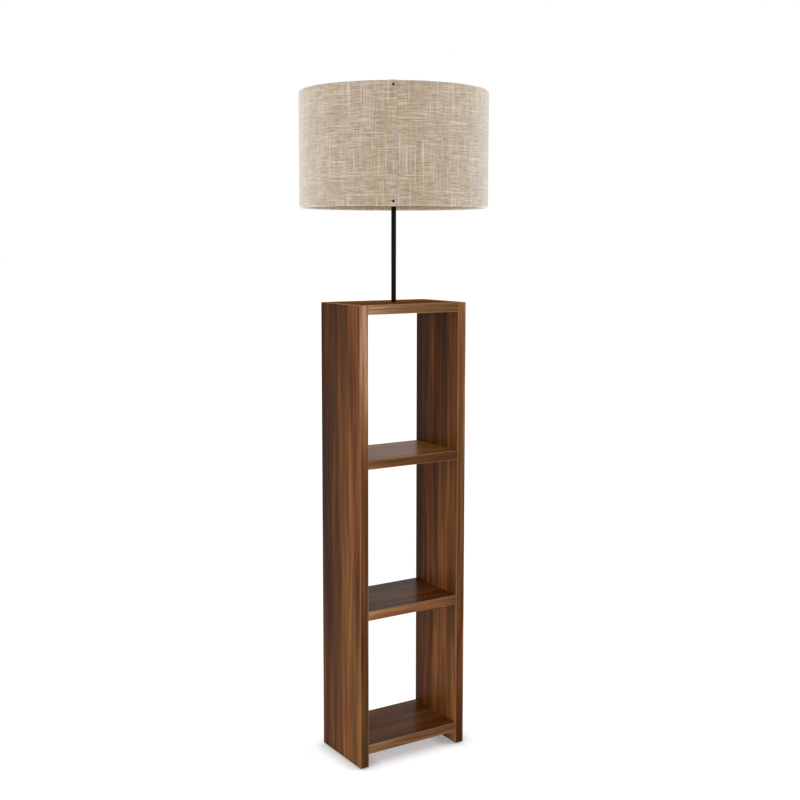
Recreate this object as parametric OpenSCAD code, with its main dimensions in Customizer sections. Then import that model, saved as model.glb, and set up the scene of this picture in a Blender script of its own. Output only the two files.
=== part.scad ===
// Shelf floor lamp: an open three-compartment shelf unit of faced board that
// carries a slim lamp tube, an E27 lampholder, a bulb and a straight drum shade.
// Origin: on the floor, on the axis of the lamp tube. +Z is up, the open front
// faces -Y and the unit's left side is at -X. All sizes are in millimetres.

/* [Shelf unit] */
// Overall width of the shelf unit
unit_w = 252; // [230:1:300]
// Overall depth of the shelf unit
unit_d = 154; // [146:1:200]
// Height of the shelf unit's top face above the floor
unit_h = 935; // [880:5:1000]
// Thickness of every board
board_t = 19; // [18:0.5:22]
// Height of the upper shelf's top face above the floor
upper_shelf_z = 630; // [580:1:680]
// Height of the lower shelf's top face above the floor
lower_shelf_z = 324; // [280:1:380]
// Height of the bottom shelf's top face above the floor
bottom_shelf_z = 47; // [40:1:80]
// Thickness of the glued edge bands
band_t = 1; // [0.8:0.1:2]
// Radius of the scraped arrises along the edge bands
band_arris = 0.7; // [0.3:0.1:0.7]

/* [Board joints] */
// Distance of each dowel from the middle of the board end
dowel_y = 48; // [34:1:56]
// Diameter of the dowels
dowel_d = 8; // [6:1:10]
// Length of the dowels
dowel_l = 30; // [24:1:32]
// Diameter of the cam locks
cam_d = 15; // [12:1:15]
// Distance of each cam lock's axis from the end of its board
cam_setback = 24; // [24:1:34]

/* [Feet] */
// Height of the nailed floor glides
glide_h = 2; // [1.5:0.5:5]
// Diameter of the floor glides
glide_d = 16; // [12:1:18]
// Distance of each glide from the middle of its side panel
glide_y = 58; // [40:1:62]

/* [Lamp tube] */
// Outside diameter of the lamp tube
tube_d = 10; // [9:0.5:10]
// Wall thickness of the lamp tube
tube_wall = 1; // [0.8:0.1:1.5]
// Diameter of the steel plate that holds the tube under the top panel
plate_d = 50; // [46:1:60]
// Depth of the recess that hides the plate, the nut and the tube's end
recess_h = 9; // [9:0.5:10]
// Width of the groove that leads the flex from the recess to the back edge
groove_w = 8; // [7:0.5:10]

/* [Shade] */
// Outside diameter of the drum shade
shade_d = 380; // [300:5:450]
// Height of the drum shade
shade_h = 230; // [200:5:280]
// Height of the shade's lower rim above the floor
shade_z = 1124; // [1090:1:1200]
// Direction that the shade's seam faces, measured from the front to the left
seam_turn = 32.5; // [0:0.5:360]
// Width of the shade's glued seam overlap
seam_w = 14; // [8:1:25]
// Diameter of the heads of the two seam studs
stud_d = 5; // [4:0.5:8]
// How far the stiff liner stops short of each rim, where the cloth is turned in
liner_inset = 4; // [0:0.5:6]

/* [Lampholder and bulb] */
// Height of the lampholder's lower end above the shade's lower rim
holder_rise = 7; // [0:1:10]
// Diameter of the bulb's round glass
bulb_d = 60; // [55:1:65]

/* [Hidden] */
$fn = 72;
eps = 0.01;

// Colours
walnut = "#6b442b";
walnut_band = "#7f5a3f";
beech = "#c9a26f";
zinc = "#a9abad";
black_steel = "#1b1b1c";
black_plastic = "#202022";
porcelain = "#e8e4da";
brass = "#b5964f";
linen = "#c1b097";
liner_white = "#eee9de";
opal = "#f4f1e8";
cap_metal = "#b9bbbd";
stem_glass = "#dfe6e4";
phosphor = "#e2c14c";

// Shelf unit
inner_x = unit_w / 2 - board_t;
core_y = unit_d / 2 - band_t;
band_gap = 0.05;
top_under_z = unit_h - board_t;
shelf_tops = [unit_h, upper_shelf_z, lower_shelf_z, bottom_shelf_z];

// Dowels and cam fittings. A dowel sits about a third in the side panel.
dowel_in_side = 11;
dowel_fit = 0.1;
bolt_thread_r = 2.5;
bolt_in_side = 11;
bolt_shank_r = 3;
bolt_neck_r = 2;
bolt_head_r = 3.2;
bolt_l = bolt_in_side + cam_setback + 2;
bolt_bore_r = 4;
cam_h = 13;
cam_fit = 0.1;

// Tube fixing under the top panel
plate_t = 2.5;
nut_t = 3;
nut_af = 14;
recess_r = plate_d / 2 + 2;
recess_z = top_under_z + recess_h;
tube_bottom_z = recess_z - plate_t - nut_t - 1.5;
plate_screw_r = 17;
plate_screw_turns = [-90, 30, 150];
screw_l = 10;
screw_r = 1.6;
screw_head_r = 3.3;
screw_head_h = 2.1;
bush_bore_r = 3;
bush_l = 8;
bush_flange_t = 1.5;

// Lampholder: heights are counted from its lower end
holder_z = shade_z + holder_rise;
cap_h = 27;
cap_r = 20;
cap_dome_r = 14;
cap_boss_r = 8;
cap_wall = 2.2;
thread_depth = 11;
flange_r = 23;
flange_h = 3;
skirt_r = 19.7;
body_bore_r = 14.25;
body_top = 56;
shoulder = cap_h + flange_h;
sleeve_r = 13.6;
sleeve_wall = 0.6;
insert_h = 12;
terminal_r = 2.4;
terminal_sink = 4.5;
nut_ring_r = 26;
nut_ring_h = 5;

// Shade. The carrier's hub turns freely on the lampholder's skirt.
fabric_t = 0.8;
liner_t = 0.4;
shade_r = shade_d / 2;
liner_r = shade_r - fabric_t;
wire_r = 1.5;
ring_r = liner_r - liner_t - wire_r - 0.1;
ring_from_rim = 4.4;
arm_r = 2;
hub_gap = 0.3;
hub_t = 1.5;
hub_inner_r = skirt_r + 0.4;
hub_outer_r = 31;
hub_z = holder_z + shoulder + hub_gap;
stud_from_rim = 8.5;
stud_dome = 1.3;

// Bulb: heights are counted from the tip of its eyelet
bulb_z = holder_z + 31.3;
bulb_r = bulb_d / 2;
bulb_mid = 74;
neck_r = 12.6;
neck_blend_r = 40;
glass_t = 0.8;
cap_shell_r = 13.1;
cap_low = 6;
cap_top = 30;
neck_low = 25;
thread_pitch = 3.63;

// --- Helpers -------------------------------------------------------------

module both_sides() {
  for (side = [0, 1])
    mirror([side, 0, 0]) children();
}

module front_and_back() {
  for (side = [0, 1])
    mirror([0, side, 0]) children();
}

// Puts its children on the axis line of each board end: +X points from the
// board into the side panel, and the origin is on the panel's inner face.
module at_board_ends(tops = shelf_tops) {
  for (top = tops)
    both_sides()
      translate([inner_x, 0, top - board_t / 2]) children();
}

// A rod of profile children() turned so that its axis runs along +X
module along_x() {
  rotate([0, 90, 0]) rotate_extrude() children();
}

module ring(r_out, r_in, h) {
  difference() {
    cylinder(r = r_out, h = h);
    translate([0, 0, -eps]) cylinder(r = r_in, h = h + 2 * eps);
  }
}

module cross_recess(width, slot, depth) {
  for (turn = [0, 90])
    rotate(turn) translate([-width / 2, -slot / 2, 0]) cube([width, slot, depth]);
}

// --- Boards --------------------------------------------------------------

// What the fittings need in the side panel, seen from a board end
module side_bores() {
  translate([-eps, 0, 0]) rotate([0, 90, 0])
    cylinder(r = bolt_thread_r + dowel_fit / 2, h = bolt_in_side + 1);
  for (y = [-dowel_y, dowel_y])
    translate([-eps, y, 0]) rotate([0, 90, 0])
      cylinder(r = (dowel_d + dowel_fit) / 2, h = dowel_in_side + 0.5);
}

// What the fittings need in the board: two dowel bores, the bolt's bore and
// the cam lock's pocket, which opens at the underside
module board_bores() {
  for (y = [-dowel_y, dowel_y])
    translate([eps, y, 0]) rotate([0, -90, 0])
      cylinder(r = (dowel_d + dowel_fit) / 2, h = dowel_l - dowel_in_side + 0.5);
  translate([eps, 0, 0]) rotate([0, -90, 0])
    cylinder(r = bolt_bore_r, h = cam_setback);
  translate([-cam_setback, 0, -board_t / 2 - eps])
    cylinder(r = cam_d / 2 + cam_fit, h = cam_h + 0.4);
}

module side_panel() {
  difference() {
    translate([inner_x, -core_y, glide_h])
      cube([board_t, 2 * core_y, unit_h - band_t - glide_h]);
    for (top = shelf_tops)
      translate([inner_x, 0, top - board_t / 2]) side_bores();
    at_glides() cylinder(r = glide_nail_r + 0.05, h = glide_h + glide_nail_l + 1);
  }
}

module left_side_panel() {
  color(walnut) mirror([1, 0, 0]) side_panel();
}

module right_side_panel() {
  color(walnut) side_panel();
}

module board(top) {
  difference() {
    translate([-inner_x, -core_y, top - board_t])
      cube([2 * inner_x, 2 * core_y, board_t]);
    at_board_ends([top]) board_bores();
  }
}

// The groove that the flex lies in, from the recess out through the back edge
module flex_groove() {
  translate([-groove_w / 2, 0, top_under_z - eps])
    cube([groove_w, unit_d, recess_h + eps]);
}

module top_panel() {
  color(walnut) difference() {
    board(unit_h);
    cylinder(r = tube_d / 2 + 0.1, h = unit_h + 1);
    translate([0, 0, top_under_z - eps]) cylinder(r = recess_r, h = recess_h + eps);
    flex_groove();
    at_plate_screws() cylinder(r = screw_r + 0.05, h = screw_l + 0.5);
  }
}

module upper_shelf() {
  color(walnut) board(upper_shelf_z);
}

module lower_shelf() {
  color(walnut) board(lower_shelf_z);
}

module bottom_shelf() {
  color(walnut) board(bottom_shelf_z);
}

// --- Edge bands ----------------------------------------------------------

// Cross-section of a band: board_t wide along X, band_t thick along Y, with
// its two outer arrises rounded
module band_section() {
  flat = board_t - 2 * band_arris;
  translate([-board_t / 2, 0]) square([board_t, band_t - band_arris]);
  translate([-flat / 2, 0]) square([flat, band_t]);
  intersection() {
    translate([-board_t / 2, 0]) square([board_t, band_t]);
    for (x = [-flat / 2, flat / 2])
      translate([x, band_t - band_arris]) circle(r = band_arris);
  }
}

module side_edge_bands() {
  color(walnut_band) both_sides() translate([inner_x + board_t / 2, 0, 0]) {
    front_and_back()
      translate([0, core_y, glide_h])
        linear_extrude(unit_h - glide_h) band_section();
    translate([0, core_y - band_gap, unit_h - band_t])
      rotate([90, 0, 0]) linear_extrude(2 * (core_y - band_gap)) band_section();
  }
}

module shelf_edge_bands() {
  color(walnut_band) difference() {
    for (top = shelf_tops)
      translate([-inner_x, 0, top - board_t / 2])
        front_and_back()
          translate([0, core_y, 0]) rotate([0, 90, 0])
            linear_extrude(2 * inner_x) band_section();
    flex_groove();
  }
}

// --- Board fittings ------------------------------------------------------

// Half outline of a dowel with chamfered ends, along the axis
module dowel_outline() {
  r = dowel_d / 2;
  polygon([[0, 0], [r - 1, 0], [r, 1.5], [r, dowel_l - 1.5], [r - 1, dowel_l], [0, dowel_l]]);
}

module dowels() {
  color(beech) at_board_ends()
    for (y = [-dowel_y, dowel_y])
      translate([dowel_in_side - dowel_l, y, 0]) along_x() dowel_outline();
}

// Half outline of a cam bolt: thread, collar, shank, neck and head
module cam_bolt_outline() {
  polygon([
    [0, 0], [1, 0], [bolt_thread_r, 2], [bolt_thread_r, bolt_in_side],
    [bolt_shank_r, bolt_in_side], [bolt_shank_r, bolt_l - 10],
    [bolt_neck_r, bolt_l - 9.4], [bolt_neck_r, bolt_l - 3],
    [bolt_head_r, bolt_l - 1.8], [bolt_head_r, bolt_l - 0.6],
    [bolt_head_r - 0.6, bolt_l], [0, bolt_l]
  ]);
}

module cam_bolts() {
  color(zinc) at_board_ends()
    translate([bolt_in_side, 0, 0]) mirror([1, 0, 0]) along_x() cam_bolt_outline();
}

// A cam lock: a short drum with a mouth for the bolt's head on one side and a
// cross recess for the screwdriver in its lower face
module cam_lock() {
  head_room = bolt_head_r + 0.4;
  neck_room = bolt_neck_r + 0.5;
  axis_z = board_t / 2;
  difference() {
    cylinder(r = cam_d / 2, h = cam_h);
    translate([-3.5, 0, axis_z]) rotate([0, 90, 0]) cylinder(r = head_room, h = 7);
    translate([0, 0, axis_z]) rotate([0, 90, 0]) cylinder(r = neck_room, h = cam_d);
    translate([-3.5, -head_room, axis_z]) cube([7, 2 * head_room, cam_h]);
    translate([0, -neck_room, axis_z]) cube([cam_d, 2 * neck_room, cam_h]);
    translate([0, 0, -eps]) cross_recess(8, 1.6, 2.6);
  }
}

module cam_locks() {
  color(zinc) at_board_ends()
    translate([-cam_setback, 0, -board_t / 2]) cam_lock();
}

// --- Feet ----------------------------------------------------------------

glide_nail_r = 0.9;
glide_nail_l = 12;

module at_glides() {
  for (y = [-glide_y, glide_y])
    translate([inner_x + board_t / 2, y, 0]) children();
}

module floor_glides() {
  color(black_plastic) both_sides() at_glides() {
    rotate_extrude() polygon([
      [0, 0], [glide_d / 2 - 1, 0], [glide_d / 2, 0.8], [glide_d / 2, glide_h], [0, glide_h]
    ]);
    translate([0, 0, glide_h - eps]) cylinder(r = glide_nail_r, h = glide_nail_l);
  }
}

// --- Lamp tube and its fixing --------------------------------------------

module lamp_tube() {
  bottom = tube_bottom_z;
  top = holder_z + thread_depth;
  r = tube_d / 2;
  color(black_steel) rotate_extrude() polygon([
    [r - tube_wall, bottom], [r - 0.4, bottom], [r, bottom + 0.4],
    [r, top - 0.4], [r - 0.4, top], [r - tube_wall, top]
  ]);
}

module at_plate_screws() {
  for (turn = plate_screw_turns)
    rotate(turn) translate([plate_screw_r, 0, recess_z - plate_t]) children();
}

module tube_plate() {
  color(zinc) difference() {
    translate([0, 0, recess_z - plate_t]) cylinder(r = plate_d / 2, h = plate_t);
    cylinder(r = tube_d / 2 + 0.03, h = unit_h);
    at_plate_screws() {
      translate([0, 0, -eps]) cylinder(r1 = screw_head_r + 0.1, r2 = screw_r + 0.1, h = screw_head_h);
      cylinder(r = screw_r + 0.2, h = plate_t + 1);
    }
  }
}

module plate_screws() {
  color(zinc) at_plate_screws() difference() {
    rotate_extrude() polygon([
      [0, 0], [screw_head_r, 0], [screw_r, screw_head_h],
      [screw_r, screw_l - 2.5], [0.3, screw_l], [0, screw_l]
    ]);
    translate([0, 0, -eps]) cross_recess(3.4, 0.8, 1.2);
  }
}

module tube_nut() {
  color(zinc) translate([0, 0, recess_z - plate_t - nut_t]) difference() {
    cylinder(r = nut_af / 2 / cos(30), h = nut_t, $fn = 6);
    translate([0, 0, -eps]) cylinder(r = tube_d / 2 + 0.03, h = nut_t + 1);
  }
}

// The bush fills the groove's end and lines the way out for the flex
module cord_bush() {
  axis_z = top_under_z + recess_h / 2;
  back = unit_d / 2;
  color(black_plastic) difference() {
    union() {
      translate([-groove_w / 2 + 0.1, back - bush_l, top_under_z + 0.1])
        cube([groove_w - 0.2, bush_l + eps, recess_h - 0.2]);
      translate([-groove_w / 2 - 3, back, top_under_z + 0.1])
        cube([groove_w + 6, bush_flange_t, recess_h + 2]);
    }
    translate([0, back - bush_l - 1, axis_z]) rotate([-90, 0, 0])
      cylinder(r = bush_bore_r, h = bush_l + bush_flange_t + 2);
  }
}

// --- Lampholder ----------------------------------------------------------

// Domed outline from the axis to the rim, shrunk by a wall thickness
module cap_outline(wall = 0) {
  inner = cap_r - cap_dome_r;
  dome_z = cap_dome_r + cap_boss_r;
  intersection() {
    translate([inner, dome_z]) circle(r = cap_dome_r - wall);
    translate([inner, 0]) square([cap_dome_r, dome_z]);
  }
  translate([0, cap_boss_r + wall]) square([inner, cap_dome_r - wall]);
  translate([0, dome_z]) square([cap_r - wall, cap_h - dome_z]);
}

module holder_cap() {
  color(black_plastic) translate([0, 0, holder_z]) rotate_extrude() difference() {
    union() {
      cap_outline();
      square([cap_boss_r, cap_boss_r + 4]);
    }
    difference() {
      cap_outline(cap_wall);
      square([cap_boss_r - 1, cap_boss_r + 4]);
    }
    square([tube_d / 2 + 0.03, cap_boss_r + 5]);
    translate([0, cap_boss_r + 4]) square([cap_boss_r - 1, 4]);
    translate([0, cap_h - eps]) square([cap_r - cap_wall, 1]);
  }
}

// Flanged body: a spigot inside the cap, a shoulder for the shade carrier and
// a skirt that the ring nut screws onto
module holder_body() {
  spigot_r = cap_r - cap_wall - 0.2;
  color(black_plastic) translate([0, 0, holder_z]) rotate_extrude() difference() {
    union() {
      translate([0, cap_h - 6]) square([spigot_r, 7]);
      translate([0, cap_h]) square([flange_r, flange_h]);
      translate([0, cap_h]) square([skirt_r, body_top - cap_h]);
    }
    translate([0, cap_h - 7]) square([body_bore_r, body_top]);
  }
}

// Contact carrier with two wells for the terminal screws
module holder_insert() {
  color(porcelain) translate([0, 0, holder_z + cap_h - insert_h]) difference() {
    cylinder(r = body_bore_r - 0.03, h = insert_h);
    for (x = [-8, 8])
      translate([x, 0, -eps]) cylinder(r = terminal_r + 0.2, h = terminal_sink + eps);
    translate([-3.5, -3.5, insert_h - 1]) cube([7, 7, 1 + eps]);
  }
}

module holder_sleeve() {
  color(cap_metal) translate([0, 0, holder_z + cap_h])
    ring(sleeve_r + sleeve_wall, sleeve_r, body_top - cap_h - 3);
}

// A bent strip that springs up against the bulb's eyelet
module center_contact() {
  t = 0.5;
  foot = cap_h - 1;
  rise = 31.2 - foot;
  color(brass) translate([0, 2.5, holder_z + foot]) rotate([90, 0, 0])
    linear_extrude(5) polygon([
      [-3, 0], [3, 0], [3, t], [-1.6, t], [2.4, rise - t], [2.4, rise],
      [-1.4, rise], [-1.4, rise - t], [1.4, rise - t], [-3, t]
    ]);
}

module terminal_screws() {
  color(brass) for (x = [-8, 8])
    translate([x, 0, holder_z + cap_h - insert_h - 1]) difference() {
      cylinder(r = terminal_r, h = terminal_sink + 1);
      translate([-3, -0.35, -eps]) cube([6, 0.7, 1]);
    }
}

// Ring nut that keeps the carrier's hub on the shoulder
module shade_ring_nut() {
  z = hub_z + hub_t + hub_gap;
  notches = 12;
  color(black_plastic) translate([0, 0, z]) difference() {
    ring(nut_ring_r, skirt_r + 0.05, nut_ring_h);
    for (i = [0:notches - 1])
      rotate(i * 360 / notches)
        translate([nut_ring_r, 0, -eps]) cylinder(r = 1.4, h = nut_ring_h + 1);
  }
}

// --- Shade ---------------------------------------------------------------

// Turns +X to the direction that the seam faces
module at_seam() {
  rotate(-90 - seam_turn) children();
}

module seam_wedge(r) {
  half = asin(seam_w / 2 / r);
  far = 2 * r;
  polygon([[0, 0], [far * cos(half), -far * sin(half)], [far * cos(half), far * sin(half)]]);
}

// A drum with one lapped seam, where the free end lies on the outside
module shade_fabric() {
  color(linen) translate([0, 0, shade_z]) {
    difference() {
      union() {
        cylinder(r = shade_r, h = shade_h);
        at_seam() linear_extrude(shade_h) intersection() {
          circle(r = shade_r + fabric_t);
          seam_wedge(shade_r);
        }
      }
      translate([0, 0, -1]) cylinder(r = liner_r, h = shade_h + 2);
      shade_stud_holes();
    }
  }
}

module shade_liner() {
  color(liner_white) translate([0, 0, shade_z]) difference() {
    translate([0, 0, liner_inset]) cylinder(r = liner_r - eps, h = shade_h - 2 * liner_inset);
    translate([0, 0, -1]) cylinder(r = liner_r - liner_t, h = shade_h + 2);
    shade_stud_holes();
  }
}

module at_studs() {
  for (z = [stud_from_rim, shade_h - stud_from_rim])
    at_seam() translate([shade_r + fabric_t, 0, z]) rotate([0, 90, 0]) children();
}

stud_shank_r = 1.2;
stud_shank_l = fabric_t * 2 + liner_t + 0.05;

module shade_stud_holes() {
  at_studs() translate([0, 0, -stud_shank_l - 1]) cylinder(r = stud_shank_r + 0.05, h = stud_shank_l + 2);
}

// A snap stud: a domed head outside and a flat clinch washer inside
module seam_studs() {
  dome_r = (pow(stud_d / 2, 2) + pow(stud_dome, 2)) / 2 / stud_dome;
  color(black_steel) translate([0, 0, shade_z]) at_studs() {
    intersection() {
      translate([0, 0, stud_dome - dome_r + 0.05]) sphere(r = dome_r);
      translate([0, 0, 0.05]) cylinder(r = stud_d, h = stud_dome);
    }
    translate([0, 0, -stud_shank_l]) cylinder(r = stud_shank_r, h = stud_shank_l + 0.5);
    translate([0, 0, -stud_shank_l - 0.6]) cylinder(r = 2.2, h = 0.6);
  }
}

module wire_ring(z) {
  translate([0, 0, z]) rotate_extrude() translate([ring_r, 0]) circle(r = wire_r);
}

module top_wire_ring() {
  color(liner_white) wire_ring(shade_z + shade_h - ring_from_rim);
}

// Lower ring, three arms and the hub, welded to one piece; one arm is opposite the seam
module shade_carrier() {
  arms = 3;
  from = [hub_outer_r - 2, hub_z + hub_t / 2];
  to = [ring_r, shade_z + ring_from_rim];
  run = to[0] - from[0];
  drop = from[1] - to[1];
  color(liner_white) {
    wire_ring(to[1]);
    translate([0, 0, hub_z]) ring(hub_outer_r, hub_inner_r, hub_t);
    for (i = [0:arms - 1])
      at_seam() rotate(180 + i * 360 / arms) translate([from[0], 0, from[1]])
        rotate([0, 90 + atan2(drop, run), 0]) cylinder(r = arm_r, h = norm([run, drop]));
  }
}

// --- Bulb ----------------------------------------------------------------

// Half outline of the glass: a round crown that runs into a straight neck
// through one hollow curve, shrunk by a wall thickness. The hollow bites a
// little into crown and neck, so that the curves cross instead of grazing.
module glass_outline(wall = 0) {
  bite = 0.05;
  reach = bulb_r + neck_blend_r - bite;
  side = neck_r - bite + neck_blend_r;
  level = sqrt(reach * reach - side * side);
  blend_z = bulb_mid - level;
  difference() {
    translate([0, neck_low]) square([side * (bulb_r - wall) / reach, bulb_mid - neck_low]);
    translate([neck_r - wall, neck_low - 1]) square([bulb_d, blend_z - neck_low + 1]);
    translate([side, blend_z]) circle(r = neck_blend_r + wall);
  }
  intersection() {
    translate([0, bulb_mid]) circle(r = bulb_r - wall);
    translate([0, neck_low]) square([bulb_d, 2 * bulb_d]);
  }
}

module bulb_glass() {
  color(opal) translate([0, 0, bulb_z]) rotate_extrude() difference() {
    glass_outline();
    glass_outline(glass_t);
    translate([0, neck_low - 1]) square([neck_r - glass_t, 1.5]);
  }
}

// Rolled screw shell: rounded rings at the thread's pitch on a thin wall, and
// a skirt round the glass neck
module bulb_cap() {
  crest = 0.9;
  turns = 5;
  shell_top = neck_low - 0.5;
  color(cap_metal) translate([0, 0, bulb_z]) rotate_extrude() difference() {
    union() {
      translate([0, cap_low]) square([cap_shell_r - crest, shell_top - cap_low]);
      for (i = [0:turns - 1])
        translate([cap_shell_r - crest, cap_low + 2 + i * thread_pitch]) circle(r = crest);
      translate([0, shell_top - 1]) square([neck_r + 0.6, cap_top - shell_top + 1]);
    }
    translate([0, cap_low + 1]) square([cap_shell_r - 2 * crest, cap_top]);
    translate([0, neck_low]) square([neck_r + 0.03, cap_top]);
    translate([0, cap_low - 1]) square([8, 3]);
  }
}

module bulb_insulator() {
  color(black_plastic) translate([0, 0, bulb_z]) rotate_extrude() difference() {
    polygon([[0, 1.5], [5, 1.5], [9, cap_low], [7.9, cap_low], [7.9, cap_low + 1.2], [0, cap_low + 1.2]]);
    square([4.05, 2.5]);
  }
}

module bulb_eyelet() {
  color(brass) translate([0, 0, bulb_z]) rotate_extrude()
    polygon([[0, 0], [2.6, 0], [4, 1], [4, 2.5], [0, 2.5]]);
}

stem_tip = bulb_mid - 18;

// Pressed glass stem whose flare closes the neck
module bulb_stem() {
  flare_r = neck_r - glass_t - 0.05;
  color(stem_glass) translate([0, 0, bulb_z]) rotate_extrude() polygon([
    [0, neck_low + 0.5], [flare_r, neck_low + 0.5], [flare_r, neck_low + 2], [5, neck_low + 9],
    [3, neck_low + 16], [3, stem_tip], [0, stem_tip]
  ]);
}

// Four leaning rods between spokes on the stem and a disc above them
module bulb_filaments() {
  rods = 4;
  foot_r = 7;
  rod_h = 34;
  lean = 6;
  color(phosphor) translate([0, 0, bulb_z + stem_tip]) {
    cylinder(r = 0.6, h = rod_h + 1);
    translate([0, 0, rod_h - 0.5]) cylinder(r = 4.5, h = 1);
    for (i = [0:rods - 1])
      rotate(45 + i * 360 / rods) {
        translate([0, 0, 0.6]) rotate([0, 90, 0]) cylinder(r = 0.5, h = foot_r);
        translate([foot_r, 0, 0]) rotate([0, -lean, 0]) cylinder(r = 1, h = rod_h);
      }
  }
}

// --- Assembly ------------------------------------------------------------

left_side_panel();
right_side_panel();
top_panel();
upper_shelf();
lower_shelf();
bottom_shelf();
side_edge_bands();
shelf_edge_bands();
dowels();
cam_bolts();
cam_locks();
floor_glides();
lamp_tube();
tube_plate();
plate_screws();
tube_nut();
cord_bush();
holder_cap();
holder_body();
holder_insert();
holder_sleeve();
center_contact();
terminal_screws();
shade_ring_nut();
shade_fabric();
shade_liner();
top_wire_ring();
shade_carrier();
seam_studs();
bulb_glass();
bulb_cap();
bulb_insulator();
bulb_eyelet();
bulb_stem();
bulb_filaments();
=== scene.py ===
"""Looks of a shelf floor lamp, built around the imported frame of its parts.

An open shelf unit in walnut-faced board carries a black tube with a lampholder,
an opal bulb and a drum shade in slubbed linen. The frame holds every part at
its real size. This file gives each part its finish, and makes the pieces whose
fine form is a matter of looks: the rolled cloth of the shade, the rolled screw
shells of bulb and lampholder, and the holder's threaded skirt.
"""

import functools
import logging
import math
from dataclasses import dataclass, field
from enum import Enum

import bmesh
import bpy
import numpy as np
from mathutils import Matrix, Vector

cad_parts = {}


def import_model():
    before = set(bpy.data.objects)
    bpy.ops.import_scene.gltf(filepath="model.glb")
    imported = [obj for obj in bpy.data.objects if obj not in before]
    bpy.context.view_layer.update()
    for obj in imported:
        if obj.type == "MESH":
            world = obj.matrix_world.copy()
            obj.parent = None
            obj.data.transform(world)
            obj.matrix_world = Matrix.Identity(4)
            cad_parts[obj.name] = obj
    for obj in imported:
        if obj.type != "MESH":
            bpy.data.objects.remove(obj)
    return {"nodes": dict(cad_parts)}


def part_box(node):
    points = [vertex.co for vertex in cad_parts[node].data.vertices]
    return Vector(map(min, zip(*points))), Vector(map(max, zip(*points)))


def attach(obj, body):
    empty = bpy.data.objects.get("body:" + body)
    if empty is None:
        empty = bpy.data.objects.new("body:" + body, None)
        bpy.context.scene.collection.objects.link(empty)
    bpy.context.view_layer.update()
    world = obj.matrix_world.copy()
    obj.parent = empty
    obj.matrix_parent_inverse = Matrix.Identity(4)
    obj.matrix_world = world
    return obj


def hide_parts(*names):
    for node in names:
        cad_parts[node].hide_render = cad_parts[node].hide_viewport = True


MM = 0.001
LOG = logging.getLogger("shelf_lamp")

Socket = bpy.types.NodeSocket
Node = bpy.types.Node
Tree = bpy.types.NodeTree
Signal = Socket | Node

# How far drawn-out noise strays from its mean of 0.5
NOISE_REACH = 0.17
# Edges sharper than this stay crisp on the pieces made here
CRISP_DEG = 40.0


class Grain(Enum):
    """Axis that a board's printed grain runs along."""

    ALONG_X = 0
    ALONG_Z = 2


class Body(Enum):
    """Bodies of the lamp that move on their own."""

    STAND = "stand"
    SHADE = "shade"
    BULB = "bulb"


def linear(hex_colour: str) -> tuple[float, float, float, float]:
    """Turns an sRGB hex colour into linear RGBA.

    Args:
        hex_colour: six hex digits after a hash, such as "#6b442b".

    Returns:
        Linear red, green and blue, and an alpha of 1.
    """
    raw = [int(hex_colour[i : i + 2], 16) / 255 for i in (1, 3, 5)]
    red, green, blue = (
        c / 12.92 if c <= 0.04045 else ((c + 0.055) / 1.055) ** 2.4 for c in raw
    )
    return red, green, blue, 1.0


def socket_in_use(sockets: bpy.types.bpy_prop_collection, name: str = "") -> Socket:
    """First socket that the node's settings leave in use, of one name or of any."""
    return next(s for s in sockets if s.enabled and name in ("", s.name))


def add_node(
    tree: Tree,
    kind: str,
    inputs: dict[str | int, object] | None = None,
    stops: tuple[tuple[float, str], ...] = (),
    **settings: object,
) -> Node:
    """Adds one shader node with its settings, values and links.

    Args:
        tree: node tree that the node goes into.
        kind: Blender's name of the node type, without "ShaderNode" before it.
        inputs: input name or number to a value, or to a socket or a node, which
            is linked. A node gives its first output in use.
        stops: position and hex colour of each stop, on a colour ramp.
        settings: the node's own properties.

    Returns:
        The new node.
    """
    node = tree.nodes.new("ShaderNode" + kind)
    for key, value in settings.items():
        setattr(node, key, value)
    for key, value in (inputs or {}).items():
        target = socket_in_use(node.inputs, key) if isinstance(key, str) else node.inputs[key]
        if isinstance(value, Node):
            value = socket_in_use(value.outputs)
        if isinstance(value, Socket):
            tree.links.new(value, target)
        else:
            target.default_value = value
    if stops:
        ramp = node.color_ramp
        while len(ramp.elements) < len(stops):
            ramp.elements.new(0.5)
        for element, (position, colour) in zip(ramp.elements, stops):
            element.position = position
            element.color = linear(colour)
    return node


def empty_tree(owner: bpy.types.Material | bpy.types.World) -> Tree:
    """Turns nodes on in a material or a world, and clears them.

    Args:
        owner: the material or world.

    Returns:
        Its empty node tree.
    """
    owner.use_nodes = True
    owner.node_tree.nodes.clear()
    return owner.node_tree


def smooth_step(x: np.ndarray, low: float, high: float) -> np.ndarray:
    """0 below low, 1 above high, and 3t^2 - 2t^3 between them."""
    t = np.clip((x - low) / (high - low), 0.0, 1.0)
    return t * t * (3.0 - 2.0 * t)


# --- Finishes ---------------------------------------------------------------


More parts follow.
